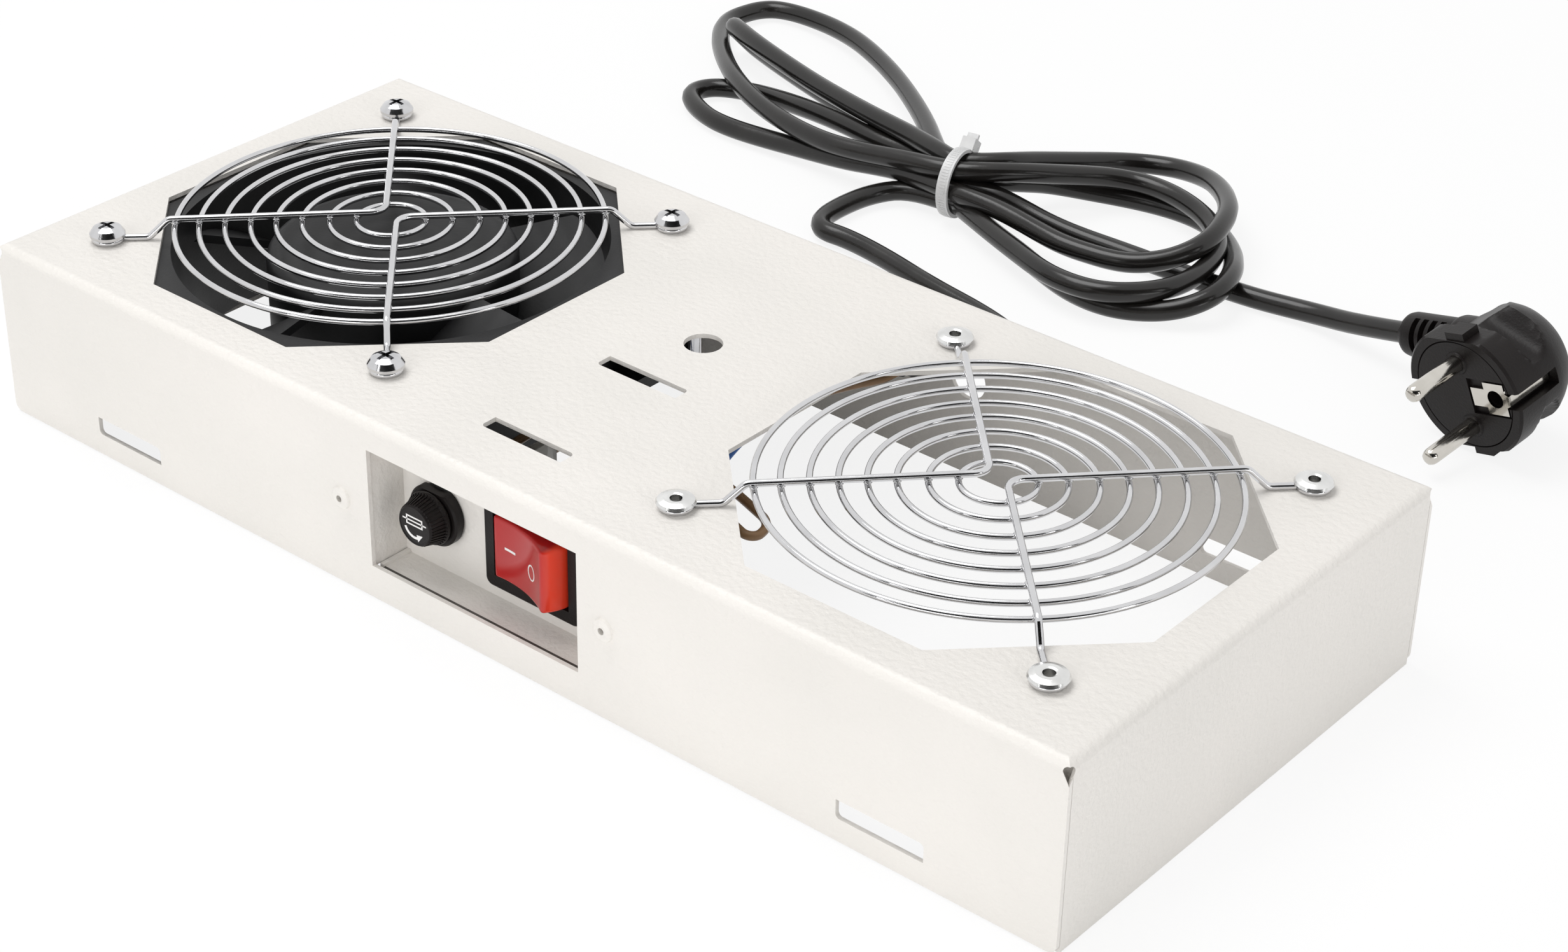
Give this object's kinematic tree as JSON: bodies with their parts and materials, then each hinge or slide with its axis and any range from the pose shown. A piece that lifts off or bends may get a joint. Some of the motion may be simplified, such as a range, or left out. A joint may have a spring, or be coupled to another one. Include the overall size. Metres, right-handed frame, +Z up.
{
  "type": "rack fan unit",
  "caption": "Sheet-metal fan tray with octagonal air openings under wire guards, an axial fan in one bay, a recessed rocker switch and fuse holder, and a coiled mains cord with plug.",
  "frame": {"origin": "centre of the hood's footprint, on the surface it stands on", "axes": "+X along the hood to the right seen from the control side, +Y from the control side to the cord side, +Z up"},
  "size_m": [0.376, 0.3522, 0.0568],
  "materials": {
    "coat": "fine-textured off-white powder coat",
    "plated_wire": "bright chrome plate",
    "zinc": "zinc plated",
    "rivet_alloy": "satin",
    "fan_black": "matt black enamel",
    "blade_black": "matt",
    "motor_steel": "plain steel",
    "copper_winding": "enamelled copper",
    "brass_tab": "tinned brass",
    "black_moulding": "fine satin",
    "red_rocker": "translucent red, polished",
    "lamp_glass": "clear",
    "fuse_glass": "clear",
    "plated_cap": "nickel plate",
    "black_rubber": "matt",
    "cord_black": "smooth PVC sheath",
    "live_brown": "smooth PVC",
    "neutral_blue": "smooth PVC",
    "earth_green": "green and yellow striped PVC",
    "clear_nylon": "natural nylon",
    "tie_nylon": "natural nylon"
  },
  "bodies": {
    "tray": {"hood": "coat", "control_bracket": "coat", "bracket_rivets": "coat", "fan_guard": "plated_wire", "vent_guard": "plated_wire", "fan_screws": "zinc", "fan_nuts": "zinc", "guard_rivets": "rivet_alloy", "fan_frame": "fan_black", "fan_bearings": "motor_steel", "stator_core": "motor_steel", "stator_coils": "copper_winding", "fan_terminal_block": "black_moulding", "fan_terminal_blades": "brass_tab", "switch_body": "black_moulding", "switch_lamp": "lamp_glass", "switch_terminals": "brass_tab", "fuse_barrel": "black_moulding", "fuse_seal": "black_rubber", "fuse_nut": "black_moulding", "fuse_terminals": "brass_tab", "earth_stud": "zinc", "earth_tongue": "brass_tab", "earth_nut": "zinc", "push_connectors": "clear_nylon", "live_wires": "live_brown", "neutral_wires": "neutral_blue", "earth_wire": "earth_green", "cord_gland": "black_rubber", "cord_lead": "cord_black", "cord_tail": "cord_black", "cord_hank": "cord_black", "cable_tie": "tie_nylon", "plug_body": "black_moulding", "plug_pins": "plated_cap", "plug_earth_clips": "plated_cap", "plug_strain_relief": "black_moulding"},
    "rotor": {"impeller": "blade_black", "rotor_cup": "motor_steel", "rotor_shaft": "motor_steel", "shaft_clip": "motor_steel"},
    "rocker": {"switch_rocker": "red_rocker"},
    "fuse_drawer": {"fuse_carrier": "brass_tab", "fuse_end_caps": "plated_cap", "fuse_glass": "fuse_glass"},
    "fuse_knob": {"fuse_cap": "black_moulding"}
  },
  "joints": [
    {"name": "fan_spin", "type": "hinge", "parent": "tray", "child": "rotor", "pos_m": [-0.1, 0, 0.03], "axis": [0, 0, 1], "continuous": true},
    {"name": "switch_rock", "type": "hinge", "parent": "tray", "child": "rocker", "pos_m": [0.0107, -0.0606, 0.0247], "axis": [0, 0, 1], "range_deg": [0, 26]},
    {"name": "fuse_pull", "type": "slide", "parent": "tray", "child": "fuse_drawer", "axis": [0, -1, 0], "range_m": [0, 0.035]},
    {"name": "fuse_turn", "type": "hinge", "parent": "fuse_drawer", "child": "fuse_knob", "pos_m": [-0.021, -0.068, 0.0247], "axis": [0, -1, 0], "range_deg": [0, 75]}
  ]
}
